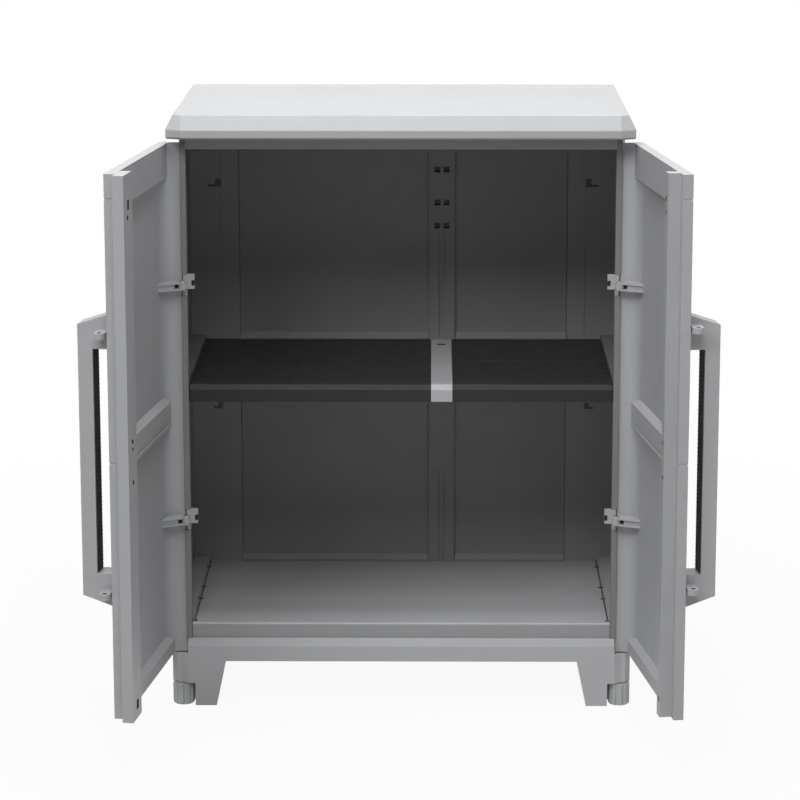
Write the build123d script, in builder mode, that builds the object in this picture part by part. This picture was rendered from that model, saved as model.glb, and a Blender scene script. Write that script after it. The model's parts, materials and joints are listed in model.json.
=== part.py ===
from build123d import *
from math import cos, radians, sin
import os

os.makedirs("parts", exist_ok=True)

# Driving dimensions in millimetres. X is the width, Y runs from front to back, Z is up from the ground.

# Top panel
lid_width = 680.0
lid_depth = 415.0
lid_top = 897.0
lid_thickness = 34.5
lid_seat = 2.5
lid_seat_inset = 6.0
lid_fascia = 11.5
lid_side_bevel = 10.0
lid_front_bevel = 17.0
lid_corner_width = 22.0
lid_corner_depth = 10.0
lid_corner_bevel = 12.5
lid_skin = 3.5
lid_front_skirt = 22.0
lid_side_skirt = 22.0
lid_back_skirt = 20.0
lid_rib = 3.0
lid_rib_depth = 18.0
lid_rib_count = 5

# Rail under the front of the top panel
lintel_setback = 34.0
lintel_depth = 12.0
lintel_drop = 17.5

# Plinth with legs
plinth_overhang = 5.0
plinth_setback = 33.0
plinth_top = 102.8
plinth_wall = 14.0
rail_bottom = 69.5
leg_width_top = 81.0
leg_width_foot = 66.5
leg_web = 4.0
side_leg_top = 96.0
side_leg_foot = 82.0
corner_chamfer_x = 24.5
corner_chamfer_y = 16.0
ledge_depth = 9.0
ledge_drop = 10.0
corner_gap = 2.0

# Levelling feet
foot_radius = 16.3
foot_height = 33.5
foot_rounding = 4.0
foot_flutes = 10
flute_turn = 29.0
flute_radius = 3.4
stem_radius = 4.0
stem_length = 30.0
stem_clearance = 0.05
foot_gap = 1.5
foot_notch_margin = 2.0
boss_margin = 12.0

# Floor panel
floor_height = 24.2
floor_skin = 3.5
floor_lip_wall = 4.0
floor_notch_gap = 0.5
floor_rounding = 3.0
floor_undercut = 4.5
rim_height = 7.0
rim_end_gap = 0.5

# Side panels, back panels and shelf
panel_wall = 3.0
wall_draw = 16.2
wall_bend = 50.0
back_inset = 18.0
back_rib = 3.0
back_rib_depth = 9.0
back_rib_rows = 4
back_rib_columns = 3
corner_return = 80.0
seam_gap = 0.6
seam_lap = 10.0
strip_height = 11.0
strip_edge = 3.7
strip_depth = 6.0
post_left = 40.4
post_width = 41.4
post_depth = 6.0
post_groove_width = 9.0
post_groove_depth = 2.5
post_hole = 9.0
post_hole_pitch = 14.5
post_hole_drops = (97.0, 149.5, 186.5)
upper_groove_drop = 197.5
lower_groove_drop = 184.0
shelf_top = 492.5
shelf_thickness = 26.5
shelf_setback = 45.0
shelf_skin = 3.5
shelf_wall = 3.0
shelf_gap = 0.5
shelf_chamfer = 7.0
shelf_undercut = 3.5
shelf_rail_ledge = 10.0
shelf_rail_ledge_setback = 40.0
shelf_rail_ledge_thickness = 7.0
bar_left = 44.3
bar_width = 32.1
bar_flange = 10.0
bar_flange_thickness = 3.0
bar_flange_setback = 25.0

# Door hinges
pivot_inset = 19.0
pivot_setback = 35.0
open_angle = 97.8
hinge_heights = (287.5, 643.0)
pin_radius = 3.0
pin_clearance = 0.05
pin_head_radius = 4.4
pin_head_height = 1.6
eye_radius = 6.0
eye_height = 6.5
fork_rib = 2.5
fork_clearance = 0.2
fork_reach = 25.0
fork_shoulder = 3.0
fork_web_setback = 3.5
fork_web_clearance = 10.0

# Jambs and their hinge brackets
fin_gap = 0.2
fin_thickness = 6.5
fin_lip = 2.1
fin_lip_depth = 2.1
jamb_clearance = 18.0
jamb_block = 7.0
notch_height = 31.0
bracket_front = 8.0
bracket_arm = 4.5
bracket_fit = 0.3
tab_reach = 10.9
tab_depth = 7.0
tab_height = 22.0
tab_lift = 5.0

# Doors
door_bottom = 82.0
door_top_gap = 9.5
door_thickness = 14.5
door_skin = 3.0
door_rim = 3.0
door_gap = 2.0
edge_trim_width = 5.0
edge_trim_depth = 4.5
groove_heights = (450.0, 818.0)
groove_width = 3.0
groove_depth = 0.7
frame_clearance = 0.2
recess_depth = 10.0
recess_taper = 35.0
top_rail_height = 50.0
mid_rail_bottom = 431.0
mid_rail_top = 468.0
mid_bead = 4.0
mid_groove_width = 6.0
mid_groove_depth = 1.2
bottom_rail_height = 20.0
stile_width = 34.0
stile_depth = 16.7
stile_wall = 3.0
stile_lap = 16.0
lap_clearance = 1.0
flange_start = 15.0
flange_end = 9.5
flange_gap = 2.5
flange_hollow = 26.0

# Handles
handle_setback = 20.0
handle_width = 34.0
handle_reach = 46.3
handle_bar = 21.0
handle_foot_bottom = 239.0
handle_foot_top = 656.5
handle_bar_bottom = 255.0
handle_bar_top = 641.5
slot_bottom = 287.0
slot_top = 607.0
handle_rounding = 2.0
grip_thickness = 1.5
grip_inset = 4.0
grip_end_gap = 0.5
lug_radius = 8.0
lug_thickness = 8.5
lug_hole = 3.5
lug_standoff = 10.0
lug_gap = 0.5
lug_planes = (264.0, 634.0)

# Places that follow from the driving dimensions
front = -lid_depth / 2
lid_half = lid_width / 2
carcass_top = lid_top - lid_thickness
skin_under = lid_top - lid_skin
plinth_half = lid_half + plinth_overhang
plinth_front = front + plinth_setback
lip_front = plinth_front + ledge_depth
floor_top = plinth_top + floor_height
back_inner = -front - back_inset
back_outer = back_inner + panel_wall
back_end = back_outer + back_rib_depth
pivot_x = lid_half - pivot_inset
pivot_y = front + pivot_setback
fin_outer = pivot_x - fin_gap
fin_inner = fin_outer - fin_thickness
block_front = pivot_y + jamb_clearance
block_back = block_front + jamb_block
wall_inner = lid_half - panel_wall
wall_front = lid_half - wall_draw
rim_top = floor_top + rim_height
return_inner = lid_half - corner_return
shelf_bottom = shelf_top - shelf_thickness
shelf_front = front + shelf_setback
shelf_back = back_inner - shelf_gap
shelf_side = fin_inner - shelf_gap
shelf_rail_bottom = shelf_bottom - shelf_rail_ledge_thickness
shelf_rail_top = shelf_top + rim_height
post_right = post_left + post_width
post_middle = post_left + post_width / 2
bar_right = bar_left + bar_width
door_top = carcass_top - door_top_gap
door_height = door_top - door_bottom
door_face = -pivot_setback
rail_plane = door_face + door_thickness
recess_plane = rail_plane - recess_depth
frame_front = door_face + door_skin
free_edge = pivot_x - door_gap / 2
hinge_edge = -pivot_inset
stile_plane = rail_plane + stile_depth
stile_start = free_edge - stile_width
rib_offset = eye_height / 2 + fork_clearance + fork_rib / 2
pin_length = 2 * rib_offset + fork_rib


# The doors stand open: their plane has u from the hinge to the free edge and v from the outer face inwards.
swing = radians(open_angle)
u_direction = Vector(cos(swing), -sin(swing), 0)
v_direction = Vector(sin(swing), cos(swing), 0)
door_plane = Plane(origin=(-pivot_x, pivot_y, 0), x_dir=u_direction, z_dir=(0, 0, 1))


def door_level(height):
    """Plane with (u, v) axes at a height above the ground."""
    return door_plane.offset(height)


def door_section(u):
    """Plane across the door at u, with axes (outwards, up) and its normal towards the hinge."""
    return Plane(origin=door_plane.from_local_coords((u, 0, 0)), x_dir=-v_direction, z_dir=-u_direction)


def door_inside(v):
    """Plane along the door at v, with axes (u, up) and its normal towards the outer face."""
    return Plane(origin=door_plane.from_local_coords((0, v, 0)), x_dir=u_direction, z_dir=-v_direction)


def block(x_low, x_high, y_low, y_high):
    """Rectangle between two corners, in the sketch at hand."""
    with Locations(((x_low + x_high) / 2, (y_low + y_high) / 2)):
        Rectangle(x_high - x_low, y_high - y_low)


def outline(*points):
    """Straight-sided face through the points, in the sketch at hand."""
    Polygon(*points, align=None)


def save(piece, name):
    """Label a finished piece and write it."""
    piece.part.label = name
    export_step(piece.part, f"parts/{name}.step")


def save_pair(left_piece, name):
    """Write a left piece and its mirror image."""
    save(left_piece, f"left_{name}")
    with BuildPart() as right_piece:
        mirror(left_piece.part, about=Plane.YZ)
    save(right_piece, f"right_{name}")


# Top panel: a hollow moulding on a seat that stands back at the front, with bevelled front and sides, turned
# front corners and ribs below.
def lid_corners(side_inset, front_inset, turn_inset):
    side = lid_half - side_inset
    edge = front + front_inset
    turn = front + lid_corner_depth + turn_inset
    corner = lid_half - lid_corner_width
    return (
        (-side, -front),
        (-side, turn),
        (-corner, edge),
        (corner, edge),
        (side, turn),
        (side, -front),
    )


lintel_front = front + lintel_setback
lintel_back = lintel_front + lintel_depth
lid_hollow_front = front + lid_front_skirt
lid_hollow_back = -front - lid_back_skirt
lid_hollow_side = lid_half - lid_side_skirt
lid_rib_pitch = (lid_hollow_back - lintel_back) / (lid_rib_count + 1)
fascia_bottom = carcass_top + lid_seat
fascia_top = fascia_bottom + lid_fascia

with BuildPart() as top_panel:
    with BuildSketch(Plane.XY.offset(carcass_top)):
        outline(*lid_corners(0, lid_seat_inset, lid_seat_inset))
    extrude(amount=lid_seat)
    with BuildSketch(Plane.XY.offset(fascia_bottom)):
        outline(*lid_corners(0, 0, 0))
    extrude(amount=lid_fascia)
    with BuildSketch(Plane.XY.offset(fascia_top)):
        outline(*lid_corners(0, 0, 0))
    with BuildSketch(Plane.XY.offset(lid_top)):
        outline(*lid_corners(lid_side_bevel, lid_front_bevel, lid_corner_bevel))
    loft(ruled=True)
    with BuildSketch(Plane.XY.offset(carcass_top)):
        block(-lid_hollow_side, lid_hollow_side, lid_hollow_front, lid_hollow_back)
    extrude(amount=lid_thickness - lid_skin, mode=Mode.SUBTRACT)
    with BuildSketch(Plane.XY.offset(skin_under - lid_rib_depth)):
        for row in range(lid_rib_count):
            rib_y = lintel_back + (row + 1) * lid_rib_pitch
            block(-lid_hollow_side, lid_hollow_side, rib_y - lid_rib / 2, rib_y + lid_rib / 2)
    extrude(amount=lid_rib_depth)
save(top_panel, "top_panel")

# Front rail: closes the gap under the top panel between the jambs, and stands up inside the top panel.
with BuildPart() as top_front_rail:
    with BuildSketch(Plane.XY.offset(carcass_top - lintel_drop)):
        block(-fin_inner, fin_inner, lintel_front, lintel_back)
    extrude(amount=skin_under - carcass_top + lintel_drop)
save(top_front_rail, "top_front_rail")

# Plinth: a hollow rail with a sloped front ledge, four splayed legs, a solid corner for each foot's stem,
# a web behind each foot and a cut corner above it, where the open door's flange stands.
foot_x = plinth_half - foot_radius
foot_y = plinth_front + foot_radius
notch_x = foot_x - foot_radius - foot_notch_margin
notch_y = foot_y + foot_radius + foot_notch_margin
boss_x = foot_x - boss_margin
boss_y = foot_y + boss_margin
boss_outer = plinth_half - plinth_wall / 2
boss_front = plinth_front + plinth_wall / 2
web_inner = plinth_half - leg_width_top

with BuildPart() as plinth:
    with BuildSketch():
        outline(
            (corner_chamfer_x - plinth_half, plinth_front),
            (plinth_half - corner_chamfer_x, plinth_front),
            (plinth_half, plinth_front + corner_chamfer_y),
            (plinth_half, back_end),
            (-plinth_half, back_end),
            (-plinth_half, plinth_front + corner_chamfer_y),
        )
    extrude(amount=plinth_top)
    with BuildSketch():
        outline(
            (plinth_wall - plinth_half, plinth_front + plinth_wall),
            (plinth_half - plinth_wall, plinth_front + plinth_wall),
            (plinth_half - plinth_wall, back_end - plinth_wall),
            (plinth_wall - plinth_half, back_end - plinth_wall),
        )
    extrude(amount=plinth_top, mode=Mode.SUBTRACT)
    for side in (-1, 1):
        with BuildSketch():
            block(*sorted((side * boss_x, side * boss_outer)), boss_front, boss_y)
            block(*sorted((side * web_inner, side * boss_outer)), notch_y, notch_y + leg_web)
        extrude(amount=plinth_top)
    with BuildSketch(Plane.XZ.offset(-back_end)):
        outline(
            (leg_width_foot - plinth_half, 0),
            (plinth_half - leg_width_foot, 0),
            (plinth_half - leg_width_top, rail_bottom),
            (leg_width_top - plinth_half, rail_bottom),
        )
    extrude(amount=back_end - plinth_front, mode=Mode.SUBTRACT)
    with BuildSketch(Plane.YZ.offset(-plinth_half)):
        outline(
            (plinth_front + side_leg_foot, 0),
            (back_end - side_leg_foot, 0),
            (back_end - side_leg_top, rail_bottom),
            (plinth_front + side_leg_top, rail_bottom),
        )
    extrude(amount=2 * plinth_half, mode=Mode.SUBTRACT)
    with BuildSketch(Plane.YZ.offset(-plinth_half)):
        outline(
            (plinth_front, plinth_top - ledge_drop),
            (plinth_front, plinth_top),
            (lip_front, plinth_top),
        )
    extrude(amount=2 * plinth_half, mode=Mode.SUBTRACT)
    for side in (-1, 1):
        with BuildSketch():
            block(*sorted((side * notch_x, side * plinth_half)), plinth_front, notch_y)
        extrude(amount=foot_height + foot_gap, mode=Mode.SUBTRACT)
        with BuildSketch():
            with Locations((side * foot_x, foot_y)):
                Circle(stem_radius + stem_clearance)
        extrude(amount=foot_height + stem_length + foot_gap, mode=Mode.SUBTRACT)
        with BuildSketch(Plane.XY.offset(door_bottom - corner_gap)):
            block(*sorted((side * fin_outer, side * plinth_half)), plinth_front, block_back)
        extrude(amount=plinth_top, mode=Mode.SUBTRACT)
save(plinth, "plinth")

# Levelling foot: a fluted knob with a rounded bottom edge, on a stem that screws up into the plinth.
with BuildPart() as left_foot:
    with BuildSketch():
        with Locations((-foot_x, foot_y)):
            Circle(foot_radius)
    extrude(amount=foot_height)
    fillet(left_foot.faces().sort_by(Axis.Z)[0].edges(), foot_rounding)
    with BuildSketch():
        with Locations((-foot_x, foot_y)):
            with PolarLocations(foot_radius, foot_flutes, start_angle=flute_turn):
                Circle(flute_radius)
    extrude(amount=foot_height, mode=Mode.SUBTRACT)
    with BuildSketch(Plane.XY.offset(foot_height)):
        with Locations((-foot_x, foot_y)):
            Circle(stem_radius)
    extrude(amount=stem_length)
save_pair(left_foot, "foot")

# Floor panel: a tray turned upside down on the plinth, with a rounded front lip that leans back at the foot,
# cut corners for the jambs and a raised rim along each side.
floor_corner_x = fin_inner - floor_notch_gap
floor_corner_y = block_back + floor_notch_gap
floor_side = lid_half

with BuildPart() as floor_panel:
    with BuildSketch(Plane.XY.offset(plinth_top)):
        outline(
            (-floor_corner_x, lip_front),
            (floor_corner_x, lip_front),
            (floor_corner_x, floor_corner_y),
            (floor_side, floor_corner_y),
            (floor_side, back_end),
            (-floor_side, back_end),
            (-floor_side, floor_corner_y),
            (-floor_corner_x, floor_corner_y),
        )
    extrude(amount=floor_height)
    with BuildSketch(Plane.XY.offset(plinth_top)):
        block(
            floor_lip_wall - floor_corner_x,
            floor_corner_x - floor_lip_wall,
            lip_front + floor_undercut + floor_lip_wall,
            back_end - floor_lip_wall,
        )
        block(
            floor_lip_wall - floor_side,
            floor_side - floor_lip_wall,
            floor_corner_y + floor_lip_wall,
            back_end - floor_lip_wall,
        )
    extrude(amount=floor_height - floor_skin, mode=Mode.SUBTRACT)
    with BuildSketch(Plane.YZ.offset(-floor_corner_x)):
        outline(
            (lip_front, plinth_top),
            (lip_front + floor_undercut, plinth_top),
            (lip_front, floor_top),
        )
    extrude(amount=2 * floor_corner_x, mode=Mode.SUBTRACT)
    lip_edge = floor_panel.edges().filter_by(Axis.X).group_by(Axis.Z)[-1].sort_by(Axis.Y)[0]
    fillet(lip_edge, floor_rounding)
    with BuildSketch(Plane.XY.offset(floor_top)):
        for side in (-1, 1):
            block(*sorted((side * fin_inner, side * floor_side)), floor_corner_y, back_inner - rim_end_gap)
    extrude(amount=rim_height)
save(floor_panel, "floor_panel")

# Jamb: a forward fin with a lip over the edge of the open door's flange, a block behind that meets the side
# panel, and a notch at each hinge.
fin_lip_outer = fin_outer + fin_lip

with BuildPart() as left_jamb:
    with BuildSketch(Plane.XY.offset(plinth_top)):
        block(-fin_outer, -fin_inner, lip_front, block_back)
        block(-wall_front, -fin_inner, block_front, block_back)
    extrude(amount=carcass_top - plinth_top)
    with BuildSketch(Plane.XY.offset(plinth_top)):
        block(-fin_lip_outer, -fin_outer, lip_front, lip_front + fin_lip_depth)
    extrude(amount=door_top - plinth_top)
    for height in hinge_heights:
        with BuildSketch(Plane.XY.offset(height - notch_height / 2)):
            block(-fin_lip_outer, -fin_inner, lip_front, block_front)
        extrude(amount=notch_height, mode=Mode.SUBTRACT)
save_pair(left_jamb, "jamb")

# Hinge bracket: a plate in the jamb's notch, an arm with an eye round the pin, and a tab inside the opening.
bracket_outer = -fin_outer + bracket_fit
bracket_base = pivot_y + bracket_front
tab_front = bracket_base - bracket_fit

for level, height in zip(("lower", "upper"), hinge_heights):
    with BuildPart() as left_bracket:
        with BuildSketch(Plane.XY.offset(height - notch_height / 2)):
            block(bracket_outer, -fin_inner, bracket_base, block_front)
        extrude(amount=notch_height)
        with BuildSketch(Plane.XY.offset(height - eye_height / 2)):
            with Locations((-pivot_x, pivot_y)):
                Circle(eye_radius)
            block(-pivot_x, -fin_inner, pivot_y - bracket_arm, pivot_y)
            block(bracket_outer, -fin_inner, pivot_y - bracket_arm, bracket_base)
        extrude(amount=eye_height)
        with BuildSketch(Plane.XY.offset(height - tab_height / 2 + tab_lift)):
            block(-fin_inner, tab_reach - fin_inner, tab_front, tab_front + tab_depth)
        extrude(amount=tab_height)
        with BuildSketch(Plane.XY.offset(height - eye_height / 2)):
            with Locations((-pivot_x, pivot_y)):
                Circle(pin_radius + pin_clearance)
        extrude(amount=eye_height, mode=Mode.SUBTRACT)
    save_pair(left_bracket, f"{level}_hinge_bracket")


# Side panels: a thin wall, drawn in towards the jamb, with a back corner return that laps behind the back
# panel. The wall stands on a rim and is shorter than the return.
def side_panel(bottom, top, wall_bottom, wall_top):
    with BuildPart() as panel:
        with BuildSketch(Plane.XY.offset(bottom)):
            block(-lid_half, -wall_inner, back_inner, back_end)
            block(-lid_half, -return_inner, back_inner, back_outer)
            block(-return_inner - seam_lap, seam_lap - return_inner, back_outer, back_outer + panel_wall)
        extrude(amount=top - bottom)
        with BuildSketch(Plane.XY.offset(wall_bottom)):
            outline(
                (-lid_half, back_inner),
                (-lid_half, wall_bend),
                (-wall_front, block_back),
                (panel_wall - wall_front, block_back),
                (-wall_inner, wall_bend),
                (-wall_inner, back_inner),
            )
        extrude(amount=wall_top - wall_bottom)
    return panel


save_pair(side_panel(floor_top, shelf_top, rim_top, shelf_rail_bottom), "lower_side_panel")
save_pair(side_panel(shelf_top, carcass_top, shelf_rail_top, carcass_top), "upper_side_panel")

# Shelf rail: joins the two tiers at the side, with a rim beside the shelf and a ledge that carries it.
ledge_front = block_back + shelf_rail_ledge_setback

with BuildPart() as left_shelf_rail:
    with BuildSketch(Plane.XY.offset(shelf_rail_bottom)):
        outline(
            (-lid_half, back_inner),
            (-lid_half, wall_bend),
            (-wall_front, block_back),
            (-fin_inner, block_back),
            (-fin_inner, back_inner),
        )
    extrude(amount=shelf_rail_top - shelf_rail_bottom)
    with BuildSketch(Plane.XY.offset(shelf_rail_bottom)):
        block(-fin_inner, shelf_rail_ledge - fin_inner, ledge_front, back_inner)
    extrude(amount=shelf_rail_ledge_thickness)
save_pair(left_shelf_rail, "shelf_rail")


# Back panels: thin walls with stiffening ribs outside and a sloped strip along the foot inside.
def back_panel(x_low, x_high, strip_low, strip_high, bottom, top):
    rib_low = x_low + seam_lap + seam_gap
    rib_high = x_high - seam_lap - seam_gap
    column_pitch = (rib_high - rib_low - back_rib) / (back_rib_columns - 1)
    row_pitch = (top - bottom - back_rib) / (back_rib_rows - 1)
    with BuildPart() as panel:
        with BuildSketch(Plane.XY.offset(bottom)):
            block(x_low, x_high, back_inner, back_outer)
            for column in range(back_rib_columns):
                rib_x = rib_low + column * column_pitch
                block(rib_x, rib_x + back_rib, back_inner, back_end)
        extrude(amount=top - bottom)
        for row in range(back_rib_rows):
            with BuildSketch(Plane.XY.offset(bottom + row * row_pitch)):
                block(rib_low, rib_high, back_inner, back_end)
            extrude(amount=back_rib)
        with BuildSketch(Plane.YZ.offset(strip_low)):
            outline(
                (back_inner, bottom),
                (back_inner - strip_depth, bottom),
                (back_inner - strip_depth, bottom + strip_edge),
                (back_inner, bottom + strip_height),
            )
        extrude(amount=strip_high - strip_low)
    return panel


for tier, bottom, top in (("lower", floor_top, shelf_top), ("upper", shelf_top, carcass_top)):
    inner_edge = return_inner - seam_gap
    middle = seam_gap / 2
    left_panel = back_panel(
        -inner_edge, post_middle - middle, -inner_edge, post_left - seam_gap, bottom, top
    )
    save(left_panel, f"back_{tier}_left_panel")
    right_panel = back_panel(
        post_middle + middle, inner_edge, post_right + seam_gap, inner_edge, bottom, top
    )
    save(right_panel, f"back_{tier}_right_panel")


# Back posts: strips that cover the joint of the back panels, with a groove and pairs of square holes.
def back_post(bottom, top, groove_top):
    with BuildPart() as post:
        with BuildSketch(Plane.XY.offset(bottom)):
            block(post_left, post_right, back_inner - post_depth, back_inner)
        extrude(amount=top - bottom)
        with BuildSketch(Plane.XY.offset(bottom)):
            block(
                post_middle - post_groove_width / 2,
                post_middle + post_groove_width / 2,
                back_inner - post_depth,
                back_inner - post_depth + post_groove_depth,
            )
        extrude(amount=groove_top - bottom, mode=Mode.SUBTRACT)
    return post


save(back_post(floor_top, shelf_bottom, shelf_bottom - lower_groove_drop), "back_lower_post")
upper_post_blank = back_post(shelf_top, carcass_top, carcass_top - upper_groove_drop)

with BuildPart() as back_upper_post:
    add(upper_post_blank.part)
    with BuildSketch(Plane.XZ.offset(-back_inner)):
        for drop in post_hole_drops:
            for offset_x in (-post_hole_pitch / 2, post_hole_pitch / 2):
                with Locations((post_middle + offset_x, carcass_top - drop)):
                    Rectangle(post_hole, post_hole)
    extrude(amount=post_depth, mode=Mode.SUBTRACT)
save(back_upper_post, "back_upper_post")


# Shelf boards: shallow trays turned upside down, with a front edge that is bevelled and leans back
# at the foot.
shelf_side_view = (
    (shelf_front + shelf_undercut, shelf_bottom),
    (shelf_back, shelf_bottom),
    (shelf_back, shelf_top),
    (shelf_front + shelf_chamfer, shelf_top),
    (shelf_front, shelf_top - shelf_chamfer),
)


def shelf_board(x_low, x_high):
    with BuildPart() as board:
        with BuildSketch(Plane.YZ.offset(x_low)):
            outline(*shelf_side_view)
        extrude(amount=x_high - x_low)
        with BuildSketch(Plane.XY.offset(shelf_bottom)):
            block(
                x_low + shelf_wall,
                x_high - shelf_wall,
                shelf_front + shelf_chamfer + shelf_wall,
                shelf_back - shelf_wall,
            )
        extrude(amount=shelf_thickness - shelf_skin, mode=Mode.SUBTRACT)
    return board


save(shelf_board(-shelf_side, bar_left), "shelf_left_board")
save(shelf_board(bar_right, shelf_side), "shelf_right_board")

# Shelf bar: the light strip between the boards, with a flange below that carries their inner edges.
with BuildPart() as shelf_center_bar:
    with BuildSketch(Plane.YZ.offset(bar_left)):
        outline(*shelf_side_view)
    extrude(amount=bar_width)
    with BuildSketch(Plane.XY.offset(shelf_bottom - bar_flange_thickness)):
        block(
            bar_left - bar_flange,
            bar_right + bar_flange,
            shelf_front + bar_flange_setback,
            back_inner - post_depth,
        )
    extrude(amount=bar_flange_thickness)
save(shelf_center_bar, "shelf_center_bar")

# Door shell: the outer skin with a rim all round, a trimmed hinge edge and shallow level grooves.
with BuildPart() as left_door_shell:
    with BuildSketch(door_level(door_bottom)):
        outline(
            (hinge_edge, door_face),
            (free_edge, door_face),
            (free_edge, rail_plane),
            (edge_trim_width + hinge_edge, rail_plane),
            (edge_trim_width + hinge_edge, rail_plane - edge_trim_depth),
            (hinge_edge, rail_plane - edge_trim_depth),
        )
    extrude(amount=door_height)
    with BuildSketch(door_level(door_bottom + door_rim)):
        block(edge_trim_width + hinge_edge + door_rim, free_edge - door_rim, frame_front, rail_plane)
    extrude(amount=door_height - 2 * door_rim, mode=Mode.SUBTRACT)
    for height in groove_heights:
        with BuildSketch(door_level(height - groove_width / 2)):
            block(hinge_edge, free_edge, door_face, door_face + groove_depth)
            block(free_edge - groove_depth, free_edge, door_face, rail_plane)
        extrude(amount=groove_width, mode=Mode.SUBTRACT)
save_pair(left_door_shell, "door_shell")


# Door frame: rails round two recesses, a groove along the middle rail, a raised free stile, a hollowed hinge
# flange and at each hinge a fork with a web between its ribs.
frame_bottom = door_bottom + door_rim + frame_clearance
frame_top = door_top - door_rim - frame_clearance
frame_hinge = edge_trim_width + hinge_edge + door_rim + frame_clearance
frame_free = free_edge - door_rim - frame_clearance
recess_levels = (
    (door_bottom + bottom_rail_height, mid_rail_bottom),
    (mid_rail_top, door_top - top_rail_height),
)


def door_frame(stile_end):
    cavity_end = min(stile_end, frame_free) - stile_wall
    hollow_end = flange_hollow - flange_end
    hollow_top = recess_plane + flange_hollow
    web_share = (-fork_web_clearance - recess_plane) / (fork_shoulder - recess_plane)
    web_foot = fork_reach - fork_web_setback
    web_end = web_foot - web_share * (fork_reach - fork_shoulder)
    with BuildPart() as frame:
        with BuildSketch(door_level(frame_bottom)):
            block(frame_hinge, frame_free, frame_front, rail_plane)
        extrude(amount=frame_top - frame_bottom)
        for low, high in recess_levels:
            with BuildSketch(door_inside(rail_plane)):
                block(-flange_end, stile_start, low, high)
            extrude(amount=recess_depth, taper=recess_taper, mode=Mode.SUBTRACT)
            with BuildSketch(door_level(low)):
                block(-flange_end, hollow_end, recess_plane, rail_plane)
                with Locations((hollow_end, hollow_top)):
                    Circle(flange_hollow, mode=Mode.SUBTRACT)
            extrude(amount=high - low)
        with BuildSketch(door_inside(rail_plane)):
            groove_low = mid_rail_bottom + mid_bead
            block(hollow_end, stile_start, groove_low, groove_low + mid_groove_width)
        extrude(amount=mid_groove_depth, mode=Mode.SUBTRACT)
        with BuildSketch(door_level(door_bottom)):
            block(stile_start, min(stile_end, frame_free), rail_plane, stile_plane)
            block(-flange_start, -flange_end, rail_plane, -flange_gap)
            block(-flange_end, hollow_end, rail_plane, hollow_top)
            with Locations((hollow_end, hollow_top)):
                Circle(flange_hollow, mode=Mode.SUBTRACT)
            if stile_end > frame_free:
                block(frame_free - stile_wall, stile_end, rail_plane + lap_clearance, stile_plane)
        extrude(amount=door_height)
        with BuildSketch(door_level(frame_bottom + stile_wall)):
            block(stile_start + stile_wall, cavity_end, frame_front, stile_plane - stile_wall)
        extrude(amount=frame_top - frame_bottom - 2 * stile_wall, mode=Mode.SUBTRACT)
        for height in hinge_heights:
            for rib_middle in (height - rib_offset, height + rib_offset):
                with BuildSketch(door_level(rib_middle - fork_rib / 2)):
                    outline(
                        (-flange_end, recess_plane),
                        (fork_reach, recess_plane),
                        (fork_shoulder, fork_shoulder),
                        (-fork_shoulder, fork_shoulder),
                        (-flange_end, -flange_gap),
                    )
                    Circle(eye_radius)
                    Circle(pin_radius, mode=Mode.SUBTRACT)
                extrude(amount=fork_rib)
            with BuildSketch(door_level(height - rib_offset)):
                outline(
                    (-flange_end, recess_plane),
                    (web_foot, recess_plane),
                    (web_end, -fork_web_clearance),
                    (-flange_end, -fork_web_clearance),
                )
            extrude(amount=2 * rib_offset)
    return frame


left_door_frame = door_frame(free_edge + stile_lap)
save(left_door_frame, "left_door_frame")
right_frame_blank = door_frame(free_edge - stile_lap)
with BuildPart() as right_door_frame:
    mirror(right_frame_blank.part, about=Plane.YZ)
save(right_door_frame, "right_door_frame")

# Hinge pins: one through each fork and eye, with a head on the upper rib.
with BuildPart() as left_hinge_pins:
    for height in hinge_heights:
        with BuildSketch(door_level(height - pin_length / 2)):
            Circle(pin_radius)
        extrude(amount=pin_length)
        with BuildSketch(door_level(height + pin_length / 2)):
            Circle(pin_head_radius)
        extrude(amount=pin_head_height)
save_pair(left_hinge_pins, "hinge_pins")

# Handle: a long upright loop on the outer face, with a padlock lug at each end that meets the other door's.
handle_edge = free_edge - handle_setback
handle_outer = handle_reach - door_face
handle_inner = handle_outer - handle_bar
lug_center_v = door_face - lug_standoff


def door_handle(lug_offset):
    with BuildPart() as handle:
        with BuildSketch(door_section(handle_edge)):
            outline(
                (-door_face, handle_foot_bottom),
                (handle_outer, handle_bar_bottom),
                (handle_outer, handle_bar_top),
                (-door_face, handle_foot_top),
            )
        extrude(amount=handle_width)
        with BuildSketch(door_section(handle_edge)):
            block(-door_face, handle_inner, slot_bottom, slot_top)
        extrude(amount=handle_width, mode=Mode.SUBTRACT)
        upright_edges = handle.edges().filter_by(Axis.Z).sort_by(SortBy.DISTANCE, reverse=True)
        fillet(upright_edges[:2], handle_rounding)
        for lug_plane in lug_planes:
            with BuildSketch(door_level(lug_plane + lug_offset)):
                block(
                    handle_edge - handle_width / 2,
                    pivot_x,
                    lug_center_v - lug_radius,
                    lug_center_v + lug_radius,
                )
                with Locations((pivot_x, lug_center_v)):
                    Circle(lug_radius)
                    Circle(lug_hole, mode=Mode.SUBTRACT)
            extrude(amount=lug_thickness)
    return handle


left_handle = door_handle(-lug_thickness)
save(left_handle, "left_handle")
right_handle_blank = door_handle(lug_gap)
with BuildPart() as right_handle:
    mirror(right_handle_blank.part, about=Plane.YZ)
save(right_handle, "right_handle")

# Grip: a soft strip on the inner side of the handle's bar.
with BuildPart() as left_grip:
    with BuildSketch(door_section(handle_edge - grip_inset)):
        block(
            handle_inner - grip_thickness,
            handle_inner,
            slot_bottom + grip_end_gap,
            slot_top - grip_end_gap,
        )
    extrude(amount=handle_width - 2 * grip_inset)
save_pair(left_grip, "grip")
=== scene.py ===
import json
from math import cos, radians, sin

import bmesh
import bpy
from mathutils import Matrix, Vector


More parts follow.
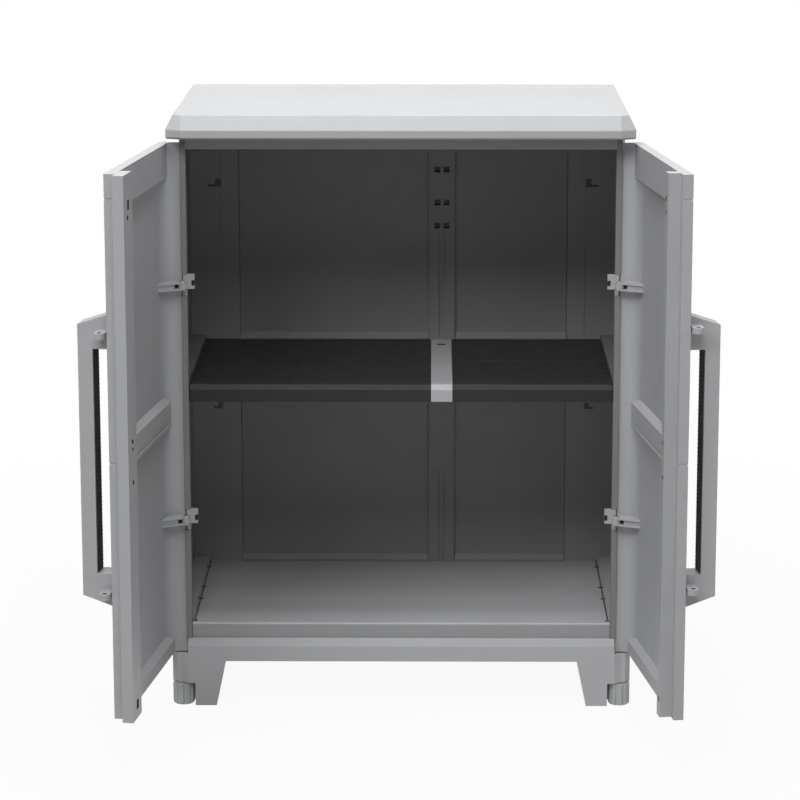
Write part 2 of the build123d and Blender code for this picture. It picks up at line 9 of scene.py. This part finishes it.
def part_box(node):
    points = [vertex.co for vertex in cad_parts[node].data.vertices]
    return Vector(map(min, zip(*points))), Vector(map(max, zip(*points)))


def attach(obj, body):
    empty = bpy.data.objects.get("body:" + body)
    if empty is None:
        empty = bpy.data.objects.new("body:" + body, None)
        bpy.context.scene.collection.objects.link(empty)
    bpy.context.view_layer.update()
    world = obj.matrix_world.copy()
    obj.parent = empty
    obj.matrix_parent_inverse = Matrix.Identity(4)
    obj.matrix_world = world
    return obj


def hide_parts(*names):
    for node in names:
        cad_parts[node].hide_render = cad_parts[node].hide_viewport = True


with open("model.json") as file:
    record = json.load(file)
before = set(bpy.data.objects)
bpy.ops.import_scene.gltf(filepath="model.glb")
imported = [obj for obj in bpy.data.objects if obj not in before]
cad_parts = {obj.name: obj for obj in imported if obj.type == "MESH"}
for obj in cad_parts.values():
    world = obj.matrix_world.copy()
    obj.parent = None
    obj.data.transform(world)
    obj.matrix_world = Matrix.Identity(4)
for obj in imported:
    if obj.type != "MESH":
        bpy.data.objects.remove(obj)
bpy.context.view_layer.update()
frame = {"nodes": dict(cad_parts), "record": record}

# Plinth: the hollow base on four splayed legs, injection moulded in mid-grey polypropylene.
# Its front corners are cut back over the screw feet and beside the open doors, and the sloped ledge
# along its front has painted shade: a duller, darker grey.
mm = 0.001
scene = bpy.context.scene
record = frame["record"]
body_of = {node: body for body, nodes in record["behaviour"]["bodies"].items() for node in nodes}
weld_distance = 0.001 * mm
flat_angle = radians(0.5)
round_from_angle = radians(18)
edge_segments = 3
plinth_edge = 1.2 * mm
plastic_ior = 1.49
noise_span = (0.25, 0.75)
cloud_scale = 7
gloss_scale = 45
gloss_spread = 0.05
mottle = 0.03
grain_height = 0.06 * mm
grain_strength = 0.5
least_slope = 0.5


def noise(tree, place, scale, detail, low, high):
    """Noise of so many features a metre at a place, stretched to run from low to high."""
    texture = tree.nodes.new("ShaderNodeTexNoise")
    texture.inputs["Scale"].default_value = scale
    texture.inputs["Detail"].default_value = detail
    spread = tree.nodes.new("ShaderNodeMapRange")
    spread.inputs["From Min"].default_value = noise_span[0]
    spread.inputs["From Max"].default_value = noise_span[1]
    spread.inputs["To Min"].default_value = low
    spread.inputs["To Max"].default_value = high
    tree.links.new(place, texture.inputs["Vector"])
    tree.links.new(texture.outputs["Fac"], spread.inputs["Value"])
    return spread.outputs["Result"]


def grained_finish(name, colour, roughness, grain=1300, specular=0.5, metallic=0.0):
    """A matt finish: a fine etched grain, faint flow clouds in the colour and an uneven gloss."""
    material = bpy.data.materials.new(name)
    material.use_nodes = True
    tree = material.node_tree
    shader = tree.nodes["Principled BSDF"]
    shader.inputs["IOR"].default_value = plastic_ior
    shader.inputs["Specular IOR Level"].default_value = specular
    shader.inputs["Metallic"].default_value = metallic
    place = tree.nodes.new("ShaderNodeTexCoord").outputs["Object"]
    clouds = noise(tree, place, cloud_scale, detail=4, low=1 - mottle, high=1 + mottle)
    specks = noise(tree, place, grain / 2, detail=2, low=1 - mottle / 2, high=1 + mottle / 2)
    both = tree.nodes.new("ShaderNodeMath")
    both.operation = "MULTIPLY"
    tree.links.new(clouds, both.inputs[0])
    tree.links.new(specks, both.inputs[1])
    tint = tree.nodes.new("ShaderNodeVectorMath")
    tint.operation = "SCALE"
    tint.inputs[0].default_value = colour
    tree.links.new(both.outputs["Value"], tint.inputs["Scale"])
    tree.links.new(tint.outputs["Vector"], shader.inputs["Base Color"])
    dull, shiny = roughness + gloss_spread, roughness - gloss_spread
    gloss = noise(tree, place, gloss_scale, detail=3, low=shiny, high=dull)
    tree.links.new(gloss, shader.inputs["Roughness"])
    bump = tree.nodes.new("ShaderNodeBump")
    bump.inputs["Strength"].default_value = grain_strength
    bump.inputs["Distance"].default_value = grain_height
    tree.links.new(noise(tree, place, grain, detail=2, low=0, high=1), bump.inputs["Height"])
    tree.links.new(bump.outputs["Normal"], shader.inputs["Normal"])
    return material


def plain_mesh(piece):
    """Give a piece the mesh that its modifiers make, and take the modifiers away."""
    bpy.context.view_layer.update()
    evaluated = piece.evaluated_get(bpy.context.evaluated_depsgraph_get())
    piece.data = bpy.data.meshes.new_from_object(evaluated)
    piece.modifiers.clear()
    return piece


def soft_copy(node, finish, edge, cutters=()):
    """A copy of a CAD node with the cutters' shapes taken out and its sharp edges rounded."""
    source = frame["nodes"][node].data
    mesh = bpy.data.meshes.new(f"{node}_moulding")
    mesh.from_pydata([v.co for v in source.vertices], [], [p.vertices[:] for p in source.polygons])
    shape = bmesh.new()
    shape.from_mesh(mesh)
    bmesh.ops.remove_doubles(shape, verts=shape.verts, dist=weld_distance)
    bmesh.ops.dissolve_limit(shape, angle_limit=flat_angle, verts=shape.verts, edges=shape.edges)
    for face in shape.faces:
        face.smooth = True
    shape.to_mesh(mesh)
    shape.free()
    mesh.materials.append(finish)
    piece = bpy.data.objects.new(mesh.name, mesh)
    scene.collection.objects.link(piece)
    for cutter in cutters:
        cut = piece.modifiers.new("cut", "BOOLEAN")
        cut.operation = "DIFFERENCE"
        cut.solver = "EXACT"
        cut.material_mode = "TRANSFER"
        cut.object = cutter
    rounding = piece.modifiers.new("edges", "BEVEL")
    rounding.width = edge
    rounding.segments = edge_segments
    rounding.limit_method = "ANGLE"
    rounding.angle_limit = round_from_angle
    rounding.harden_normals = True
    plain_mesh(piece)
    for cutter in cutters:
        bpy.data.objects.remove(cutter)
    return piece


def dress(node, finish, edge, cutters=()):
    """Stand a rounded and finished copy in for a CAD node, on the node's own body."""
    piece = soft_copy(node, finish, edge, cutters)
    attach(piece, body_of[node])
    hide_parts(node)
    return piece


def paint_faces(piece, finish, chosen):
    """Give another finish to the faces that a test picks out."""
    piece.data.materials.append(finish)
    last = len(piece.data.materials) - 1
    for face in piece.data.polygons:
        if chosen(face):
            face.material_index = last


def faces_up_front(face):
    """Whether a face slopes up towards the front."""
    return face.normal.y < -least_slope and face.normal.z > least_slope


base_plastic = grained_finish("base_plastic", (0.49, 0.495, 0.505), roughness=0.5)
# Painted shade: a darker copy of the base grey, for the plinth's sloped ledge and the floor lip's front.
lip_painted_shade = grained_finish("lip_painted_shade", (0.385, 0.389, 0.397), roughness=0.5)
plinth = dress("plinth", base_plastic, plinth_edge)
# Painted shade on the plinth's sloped ledge.
paint_faces(plinth, lip_painted_shade, faces_up_front)

# Levelling feet: fluted knobs on stems, moulded in one piece in a slightly lighter and smoother grey.
# Each stem screws up into a front corner of the plinth.
foot_edge = 0.5 * mm
foot_plastic = grained_finish("foot_plastic", (0.52, 0.53, 0.53), roughness=0.42, grain=1800)
for side in ("left", "right"):
    dress(f"{side}_foot", foot_plastic, foot_edge)

# Floor panel: a shallow grey tray turned upside down on the plinth, with a rounded front lip and side rims.
# A groove along the foot of each rim and slots across it take the clips of the side panels, their walls
# painted dark as shade. The lip's upright front has the ledge's painted shade.
floor_edge = 1.0 * mm
clip_size = (9 * mm, 6 * mm, 5 * mm)
clip_x = 0.3115
clip_starts = (-0.152, 0.031)
clip_step = 0.119
rim_groove_size = (2.2 * mm, 338 * mm, 4 * mm)
rim_groove_y = 0.021
lip_depth = 8 * mm
least_upright = 0.85


def bar_row_tree():
    """Nodes for a row of equal bars from a first middle point, if wanted also mirrored to the other side."""
    tree = bpy.data.node_groups.new("bar_row", "GeometryNodeTree")
    sockets = tree.interface
    sockets.new_socket("Geometry", in_out="OUTPUT", socket_type="NodeSocketGeometry")
    sockets.new_socket("Count", in_out="INPUT", socket_type="NodeSocketInt")
    sockets.new_socket("First", in_out="INPUT", socket_type="NodeSocketVector")
    sockets.new_socket("Step", in_out="INPUT", socket_type="NodeSocketVector")
    sockets.new_socket("Size", in_out="INPUT", socket_type="NodeSocketVector")
    sockets.new_socket("Both Sides", in_out="INPUT", socket_type="NodeSocketBool")
    sockets.new_socket("Finish", in_out="INPUT", socket_type="NodeSocketMaterial")
    given = tree.nodes.new("NodeGroupInput").outputs
    line = tree.nodes.new("GeometryNodeMeshLine")
    bar = tree.nodes.new("GeometryNodeMeshCube")
    place = tree.nodes.new("GeometryNodeInstanceOnPoints")
    real = tree.nodes.new("GeometryNodeRealizeInstances")
    other = tree.nodes.new("GeometryNodeTransform")
    other.inputs["Scale"].default_value = (-1, 1, 1)
    outwards = tree.nodes.new("GeometryNodeFlipFaces")
    pair = tree.nodes.new("GeometryNodeJoinGeometry")
    choice = tree.nodes.new("GeometryNodeSwitch")
    choice.input_type = "GEOMETRY"
    paint = tree.nodes.new("GeometryNodeSetMaterial")
    result = tree.nodes.new("NodeGroupOutput")
    join = tree.links.new
    join(given["Count"], line.inputs["Count"])
    join(given["First"], line.inputs["Start Location"])
    join(given["Step"], line.inputs["Offset"])
    join(given["Size"], bar.inputs["Size"])
    join(line.outputs["Mesh"], place.inputs["Points"])
    join(bar.outputs["Mesh"], place.inputs["Instance"])
    join(place.outputs["Instances"], real.inputs["Geometry"])
    join(real.outputs["Geometry"], other.inputs["Geometry"])
    join(other.outputs["Geometry"], outwards.inputs["Mesh"])
    join(outwards.outputs["Mesh"], pair.inputs["Geometry"])
    join(real.outputs["Geometry"], pair.inputs["Geometry"])
    join(given["Both Sides"], choice.inputs["Switch"])
    join(real.outputs["Geometry"], choice.inputs["False"])
    join(pair.outputs["Geometry"], choice.inputs["True"])
    join(choice.outputs["Output"], paint.inputs["Geometry"])
    join(given["Finish"], paint.inputs["Material"])
    join(paint.outputs["Geometry"], result.inputs["Geometry"])
    return tree


bar_row = bar_row_tree()


def bars(name, finish, count, first, step, size, both_sides=False):
    """The plain mesh object of a row of bars."""
    piece = bpy.data.objects.new(name, bpy.data.meshes.new(name))
    scene.collection.objects.link(piece)
    nodes = piece.modifiers.new("nodes", "NODES")
    nodes.node_group = bar_row
    wanted = {
        "Count": count,
        "First": first,
        "Step": step,
        "Size": size,
        "Both Sides": both_sides,
        "Finish": finish,
    }
    for socket in bar_row.interface.items_tree:
        if socket.in_out == "INPUT":
            nodes[socket.identifier] = wanted[socket.name]
    return plain_mesh(piece)


def one_bar(name, finish, place, size, both_sides=False):
    """The plain mesh object of a single bar."""
    return bars(name, finish, 1, place, (0, 0, 0), size, both_sides)


# Painted shade: near-black finishes that the cutters leave on the walls of slots, grooves, pockets and holes.
deep_painted_shade = grained_finish("deep_painted_shade", (0.02, 0.02, 0.021), roughness=0.7)
soft_painted_shade = grained_finish("soft_painted_shade", (0.10, 0.10, 0.105), roughness=0.6)
floor_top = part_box("back_lower_post")[0].z
# The clip slots and rim grooves leave walls painted dark as shade.
clip_slots = [
    bars("clip_slots", deep_painted_shade, 2, (clip_x, start, floor_top), (0, clip_step, 0), clip_size, True)
    for start in clip_starts
]
rim_groove_place = (clip_x, rim_groove_y, floor_top)
rim_grooves = one_bar("rim_grooves", soft_painted_shade, rim_groove_place, rim_groove_size, True)
lip_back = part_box("floor_panel")[0].y + lip_depth


def on_front_lip(face):
    """Whether a face is part of the lip's upright front."""
    return face.normal.y < -least_upright and face.center.y < lip_back


floor = dress("floor_panel", base_plastic, floor_edge, [*clip_slots, rim_grooves])
# Painted shade on the lip's upright front.
paint_faces(floor, lip_painted_shade, on_front_lip)

# Side panels: thin anthracite walls in two tiers with a return round the back corner.
# A clip window, its walls painted dark as shade, and a fine upright moulding line mark each return.
panel_edge = 0.8 * mm
slit_size = {"upper": (20 * mm, 4 * mm, 3.5 * mm), "lower": (14 * mm, 2 * mm, 3.5 * mm)}
slit_x = {"upper": 0.298, "lower": 0.297}
slit_z = {"upper": 0.739, "lower": 0.380}
gate_size = {"upper": (9 * mm, 4 * mm, 9 * mm), "lower": (8 * mm, 2 * mm, 7 * mm)}
gate_x = {"upper": 0.2925, "lower": 0.293}
gate_z = {"upper": 0.7455, "lower": 0.385}
line_x = 0.2885
line_width = 1.6 * mm
line_depth = 2.0 * mm
side_plastic = grained_finish("side_plastic", (0.30, 0.30, 0.304), roughness=0.55)
back_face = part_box("back_lower_post")[1].y
# The clip windows' slits and gates leave walls painted dark as shade.
for tier in ("lower", "upper"):
    for side, sign in (("left", -1), ("right", 1)):
        node = f"{side}_{tier}_side_panel"
        slit_place = (sign * slit_x[tier], back_face, slit_z[tier])
        gate_place = (sign * gate_x[tier], back_face, gate_z[tier])
        cutters = [
            one_bar("slit", soft_painted_shade, slit_place, slit_size[tier]),
            one_bar("gate", soft_painted_shade, gate_place, gate_size[tier]),
        ]
        if tier == "upper":
            low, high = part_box(node)
            line_place = (sign * line_x, back_face, (low.z + high.z) / 2)
            line_size = (line_width, line_depth, high.z - low.z)
            cutters.append(one_bar("line", side_plastic, line_place, line_size))
        dress(node, side_plastic, panel_edge, cutters)

# Back panels and posts: ribbed anthracite panels, left and right in each tier, with a sloped strip along
# the foot, painted lighter in the lower tier as painted light from above. The posts cover the joint between
# them, and their square holes open on pockets in the panels with walls painted dark as shade.
post_edge = 0.7 * mm
panel_plastic = grained_finish("panel_plastic", (0.26, 0.26, 0.263), roughness=0.55)
# Painted light: a lighter copy of the panel grey for the lower tier's sloped foot strip, as if lit from
# above.
strip_painted_light = grained_finish("strip_painted_light", (0.31, 0.31, 0.314), roughness=0.55)
hole_size = (9 * mm, 4 * mm, 9 * mm)
hole_drops = (97.0 * mm, 149.5 * mm, 186.5 * mm)
hole_side = 7.25 * mm
post_low, post_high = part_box("back_upper_post")
post_middle = (post_low.x + post_high.x) / 2
# The pockets behind the post's holes leave walls painted dark as shade.
for tier in ("lower", "upper"):
    for side, sign in (("left", -1), ("right", 1)):
        pockets = []
        if tier == "upper":
            hole_x = post_middle + sign * hole_side
            for drop in hole_drops:
                hole_place = (hole_x, back_face, post_high.z - drop)
                pockets.append(one_bar("pocket", soft_painted_shade, hole_place, hole_size))
        panel = dress(f"back_{tier}_{side}_panel", panel_plastic, panel_edge, pockets)
        if tier == "lower":
            paint_faces(panel, strip_painted_light, faces_up_front)
    dress(f"back_{tier}_post", panel_plastic, post_edge)

# Shelf: two black boards on a light grey middle bar and darker side rails, moulded in one run each.
# The two tiers of panels clamp it in place.
shelf_edge = 1.2 * mm
shelf_plastic = grained_finish("shelf_plastic", (0.037, 0.037, 0.038), roughness=0.45, specular=0.2)
bar_plastic = grained_finish("shelf_bar_plastic", (0.54, 0.545, 0.555), roughness=0.45)
shelf_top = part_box("shelf_center_bar")[1].z
score_place = (0.1925, 0.016, shelf_top)
score_size = (223 * mm, 2.5 * mm, 2 * mm)
socket_place = (0.0603, 0.145, shelf_top)
socket_size = (13 * mm, 9 * mm, 6 * mm)
score = one_bar("score", shelf_plastic, score_place, score_size)
# Painted shade: the socket in the middle bar leaves dark walls.
socket = one_bar("socket", deep_painted_shade, socket_place, socket_size)
dress("shelf_left_board", shelf_plastic, shelf_edge)
dress("shelf_right_board", shelf_plastic, shelf_edge, [score])
dress("shelf_center_bar", bar_plastic, shelf_edge, [socket])
jamb_plastic = grained_finish("jamb_plastic", (0.22, 0.222, 0.226), roughness=0.5)
for side in ("left", "right"):
    dress(f"{side}_shelf_rail", jamb_plastic, shelf_edge)

# Jambs and hinge brackets: grey uprights that close the front corners, notched for the clip-in brackets.
# Both are moulded plastic. Rows of small nubs stand on the front of each jamb.
jamb_edge = 0.8 * mm
bracket_edge = 0.5 * mm
tab_front = -0.165
notch_drop = 13 * mm
notch_size = (9 * mm, 8 * mm, 8 * mm)
nub_size = (3 * mm, 1.2 * mm, 3 * mm)
nub_rows = (
    ("high_nubs", 3, (0.318, -0.1655, 0.802), (0, 0, 8 * mm)),
    ("middle_nubs", 5, (0.318, -0.1655, 0.424), (0, 0, 16 * mm)),
)
grey_plastic = grained_finish("grey_plastic", (0.44, 0.445, 0.455), roughness=0.5)
# Each bracket's notch leaves walls painted dark as shade.
for side in ("left", "right"):
    dress(f"{side}_jamb", jamb_plastic, jamb_edge)
    for level in ("lower", "upper"):
        low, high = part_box(f"{side}_{level}_hinge_bracket")
        tab_x = min(abs(low.x), abs(high.x))
        notch_x = tab_x if side == "right" else -tab_x
        notch_place = (notch_x, tab_front, high.z - notch_drop)
        notch = one_bar("notch", deep_painted_shade, notch_place, notch_size)
        dress(f"{side}_{level}_hinge_bracket", grey_plastic, bracket_edge, [notch])
for name, count, first, step in nub_rows:
    nubs = bars(name, jamb_plastic, count, first, step, nub_size, True)
    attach(nubs, "carcass")

# Top: a front rail between the jambs and the bevelled top panel that drops over it, ribbed below.
# Both are moulded plastic, the rail in a darker grey.
top_edge = 2.0 * mm
rail_edge = 1.0 * mm
rail_plastic = grained_finish("rail_plastic", (0.33, 0.333, 0.34), roughness=0.5)
dress("top_front_rail", rail_plastic, rail_edge)
dress("top_panel", grey_plastic, top_edge)

# Doors: an outer shell with an inner frame clipped into it, moulded in the grey of the top panel.
# Small slots in the free stile, their walls painted dark as shade, take the catches of the other door.
# Each row below gives a slot's way from the hinge, its height above the ground, its width and how tall it is.
shell_edge = 1.0 * mm
frame_edge = 0.8 * mm
stile_plane = -3.8 * mm
catch_depth = 5 * mm
left_catches = (
    (0.309, 0.8095, 12 * mm, 14 * mm),
    (0.314, 0.7925, 8 * mm, 7 * mm),
    (0.309, 0.4800, 10 * mm, 6 * mm),
    (0.309, 0.4690, 8 * mm, 4 * mm),
    (0.309, 0.4220, 8 * mm, 6 * mm),
    (0.309, 0.1020, 14 * mm, 14 * mm),
)
right_catches = (
    (0.291, 0.8170, 6 * mm, 6 * mm),
    (0.291, 0.7970, 6 * mm, 6 * mm),
    (0.295, 0.4760, 6 * mm, 6 * mm),
    (0.297, 0.4270, 6 * mm, 6 * mm),
    (0.298, 0.1075, 6 * mm, 8 * mm),
)
hinge = next(joint for joint in record["behaviour"]["joints"] if joint["name"] == "left_door_hinge")
swing = radians(hinge["range_deg"][1])


def door_place(sign):
    """Where to set what is given from a door's hinge outwards, from its outer face inwards and up."""
    along = Vector((-sign * cos(swing), -sin(swing), 0))
    inwards = Vector((-sign * sin(swing), cos(swing), 0))
    turn = Matrix((along, inwards, Vector((0, 0, 1)))).transposed().to_4x4()
    pivot = Vector((sign * abs(hinge["pos_m"][0]), hinge["pos_m"][1], 0))
    return Matrix.Translation(pivot) @ turn


def on_door(piece, sign):
    """Set on a door a piece that is given in the door's own directions."""
    piece.data.transform(door_place(sign))
    if sign > 0:
        piece.data.flip_normals()
    return piece


# The catch slots leave walls painted dark as shade.
for side, sign, catches in (("left", -1, left_catches), ("right", 1, right_catches)):
    dress(f"{side}_door_shell", grey_plastic, shell_edge)
    slots = [
        on_door(one_bar("catch", soft_painted_shade, (u, stile_plane, z), (width, catch_depth, height)), sign)
        for u, z, width, height in catches
    ]
    dress(f"{side}_door_frame", grey_plastic, frame_edge, slots)

# Hinge pins: zinc-plated steel, turned with a head and pressed into the door's forks.
# Each turns with its door in the eye of a hinge bracket.
pin_edge = 0.3 * mm
hinge_steel = grained_finish("hinge_steel", (0.62, 0.62, 0.63), roughness=0.32, metallic=1.0)
for side in ("left", "right"):
    dress(f"{side}_hinge_pins", hinge_steel, pin_edge)

# Handles: long loops moulded in the doors' grey and screwed on from inside, with a padlock lug at each end.
# The walls of the lugs' holes are painted dark as shade.
handle_edge = 1.5 * mm
lug_place = (0.321, -45 * mm)
hole_reach = 3.7 * mm


def in_lug_hole(face, hole):
    """Whether a face is part of the upright walls of the holes on one line through a door's lugs."""
    apart = (face.center.xy - hole.xy).length
    return apart < hole_reach and abs(face.normal.z) < least_slope


# Painted shade on the upright walls of the lug holes.
for side, sign in (("left", -1), ("right", 1)):
    handle = dress(f"{side}_handle", grey_plastic, handle_edge)
    lug_hole = door_place(sign) @ Vector((*lug_place, 0))
    paint_faces(handle, deep_painted_shade, lambda face: in_lug_hole(face, lug_hole))

# Grips: thin pads of soft black rubber on the inner side of each handle's bar, finely ribbed across.
# They are moulded on their own and glued on.
grip_edge = 0.5 * mm
grip_rubber = grained_finish("grip_rubber", (0.008, 0.008, 0.008), roughness=0.6)
rib_count = 52
rib_first = (0.283, -58.8 * mm, 0.294)
rib_step = (0, 0, 6 * mm)
rib_size = (24 * mm, 0.8 * mm, 2.4 * mm)
for side, sign in (("left", -1), ("right", 1)):
    dress(f"{side}_grip", grip_rubber, grip_edge)
    rib_row = bars(f"{side}_grip_ribs", grip_rubber, rib_count, rib_first, rib_step, rib_size)
    ribs = on_door(rib_row, sign)
    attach(ribs, f"{side}_door")

# Studio: a white floor that keeps a faint shadow, and a white surround that only the camera and reflections
# see. Seven softboxes of one size light the cabinet, most of them from above and in front.
floor_half = 8.0
ground_grey = (0.6, 0.6, 0.6, 1)
white = (1, 1, 1, 1)
shadow_share = 0.06
shadow_reach = (0.5, 1.7)


def camera_only(tree):
    """One for rays that the camera, a gloss or a clear surface sends out, else zero."""
    path = tree.nodes.new("ShaderNodeLightPath")
    first = tree.nodes.new("ShaderNodeMath")
    first.operation = "MAXIMUM"
    second = tree.nodes.new("ShaderNodeMath")
    second.operation = "MAXIMUM"
    tree.links.new(path.outputs["Is Camera Ray"], first.inputs[0])
    tree.links.new(path.outputs["Is Glossy Ray"], first.inputs[1])
    tree.links.new(first.outputs["Value"], second.inputs[0])
    tree.links.new(path.outputs["Is Transmission Ray"], second.inputs[1])
    return second.outputs["Value"]


ground = bpy.data.objects.new("ground", bpy.data.meshes.new("ground"))
ground.data.from_pydata(
    [(x * floor_half, y * floor_half, 0) for x, y in ((-1, -1), (1, -1), (1, 1), (-1, 1))],
    [],
    [(0, 1, 2, 3)],
)
scene.collection.objects.link(ground)
ground_paint = bpy.data.materials.new("ground_paint")
ground_paint.use_nodes = True
tree = ground_paint.node_tree
tree.nodes.clear()
matt = tree.nodes.new("ShaderNodeBsdfDiffuse")
matt.inputs["Color"].default_value = ground_grey
glow = tree.nodes.new("ShaderNodeEmission")
glow.inputs["Strength"].default_value = 1.0
distance = tree.nodes.new("ShaderNodeVectorMath")
distance.operation = "LENGTH"
whiteness = tree.nodes.new("ShaderNodeMapRange")
whiteness.inputs["From Min"].default_value = shadow_reach[0]
whiteness.inputs["From Max"].default_value = shadow_reach[1]
whiteness.inputs["To Min"].default_value = 1 - shadow_share
whiteness.inputs["To Max"].default_value = 1
share = tree.nodes.new("ShaderNodeMath")
share.operation = "MULTIPLY"
mix = tree.nodes.new("ShaderNodeMixShader")
surface = tree.nodes.new("ShaderNodeOutputMaterial")
tree.links.new(tree.nodes.new("ShaderNodeTexCoord").outputs["Object"], distance.inputs[0])
tree.links.new(distance.outputs["Value"], whiteness.inputs["Value"])
tree.links.new(camera_only(tree), share.inputs[0])
tree.links.new(whiteness.outputs["Result"], share.inputs[1])
tree.links.new(share.outputs["Value"], mix.inputs[0])
tree.links.new(matt.outputs["BSDF"], mix.inputs[1])
tree.links.new(glow.outputs["Emission"], mix.inputs[2])
tree.links.new(mix.outputs["Shader"], surface.inputs["Surface"])
ground.data.materials.append(ground_paint)

world = bpy.data.worlds.new("studio")
scene.world = world
world.use_nodes = True
tree = world.node_tree
backdrop = tree.nodes["Background"]
backdrop.inputs["Color"].default_value = white
tree.links.new(camera_only(tree), backdrop.inputs["Strength"])

softbox_size = (1.6, 1.2)
lit_point = Vector((0, -0.1, 0.6))


def softbox(name, place, power):
    """A rectangular area lamp aimed at the middle of the cabinet."""
    lamp = bpy.data.lights.new(name, "AREA")
    lamp.shape = "RECTANGLE"
    lamp.size = softbox_size[0]
    lamp.size_y = softbox_size[1]
    lamp.energy = power
    holder = bpy.data.objects.new(name, lamp)
    holder.location = place
    holder.rotation_euler = (lit_point - Vector(place)).to_track_quat("-Z", "Y").to_euler()
    scene.collection.objects.link(holder)


softbox("top", (0, -0.3, 4.0), power=54)
softbox("top_left", (-1.4, -1.4, 3.5), power=11)
softbox("top_back", (0, 1.6, 3.5), power=48)
softbox("front_steep", (0, -2.1, 3.9), power=20)
softbox("front", (0, -3.4, 3.6), power=45)
softbox("front_left", (-2.0, -3.0, 3.3), power=47)
softbox("side_right", (3.2, -1.0, 1.8), power=17)

# Camera: stands where the photograph was taken from, a long lens a little above the cabinet.
# The shift puts the lens's optical centre where it lies in the picture.
image_size = 800
focal_pixels = 3003.8
optical_centre = (411.0, 365.6)
camera_place = (0.0465, -4.5094, 1.4267)
camera_pitch = 0.2052
camera_yaw = -0.0073
lens = bpy.data.cameras.new("camera")
lens.sensor_width = 36
lens.lens = focal_pixels * lens.sensor_width / image_size
lens.shift_x = (image_size / 2 - optical_centre[0]) / image_size
lens.shift_y = (optical_centre[1] - image_size / 2) / image_size
lens.clip_end = 100
camera = bpy.data.objects.new("camera", lens)
camera.location = camera_place
aim = Vector((sin(camera_yaw) * cos(camera_pitch), cos(camera_yaw) * cos(camera_pitch), -sin(camera_pitch)))
camera.rotation_euler = aim.to_track_quat("-Z", "Y").to_euler()
scene.collection.objects.link(camera)
scene.camera = camera
scene.view_settings.view_transform = "Standard"
